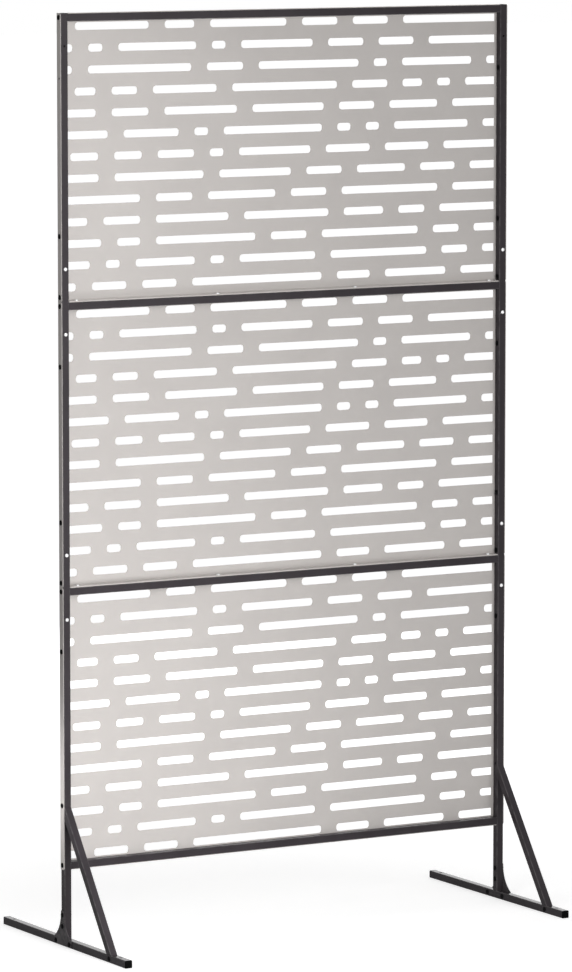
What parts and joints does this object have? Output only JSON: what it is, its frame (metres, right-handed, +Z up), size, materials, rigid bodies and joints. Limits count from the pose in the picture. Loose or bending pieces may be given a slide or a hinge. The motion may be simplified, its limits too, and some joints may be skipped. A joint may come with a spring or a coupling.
{
  "type": "privacy screen",
  "caption": "Free-standing garden privacy screen: slotted sheet-metal panels in a square-tube frame on braced foot bars.",
  "frame": {"origin": "on the ground, midway between the centre lines of the two posts", "axes": "+X along the screen to the right as seen from the front, +Y to the back, +Z up; the front is -Y"},
  "size_m": [1.008, 0.505, 1.8],
  "materials": {
    "frame_paint": "satin powder coat, charcoal",
    "panel_paint": "matt powder coat, warm grey",
    "black_fasteners": "black coated steel",
    "black_plastic": "matt moulded",
    "plain_steel": "zinc plated"
  },
  "bodies": {
    "root": {"brace_foot_bolts": "black_fasteners", "brace_foot_nuts": "black_fasteners", "brace_left": "frame_paint", "brace_lower_tongue_left": "frame_paint", "brace_lower_tongue_right": "frame_paint", "brace_post_bolts": "black_fasteners", "brace_right": "frame_paint", "brace_upper_tongue_left": "frame_paint", "brace_upper_tongue_right": "frame_paint", "foot_cap_left_front": "black_plastic", "foot_cap_left_rear": "black_plastic", "foot_cap_right_front": "black_plastic", "foot_cap_right_rear": "black_plastic", "foot_left": "frame_paint", "foot_right": "frame_paint", "gusset_bolts": "black_fasteners", "gusset_left": "frame_paint", "gusset_nuts": "black_fasteners", "gusset_right": "frame_paint", "joint_bar_left_lower": "plain_steel", "joint_bar_left_upper": "plain_steel", "joint_bar_right_lower": "plain_steel", "joint_bar_right_upper": "plain_steel", "leg_left": "frame_paint", "leg_right": "frame_paint", "leg_sleeve_left": "frame_paint", "leg_sleeve_right": "frame_paint", "panel_bottom": "panel_paint", "panel_middle": "panel_paint", "panel_top": "panel_paint", "post_left_bottom": "frame_paint", "post_left_middle": "frame_paint", "post_left_top": "frame_paint", "post_plug_left": "black_plastic", "post_plug_right": "black_plastic", "post_right_bottom": "frame_paint", "post_right_middle": "frame_paint", "post_right_top": "frame_paint", "rail_bolts": "black_fasteners", "rail_bottom": "frame_paint", "rail_end_plugs": "plain_steel", "rail_lower": "frame_paint", "rail_top": "frame_paint", "rail_upper": "frame_paint", "side_bolts": "black_fasteners", "side_nuts": "black_fasteners"}
  },
  "joints": []
}
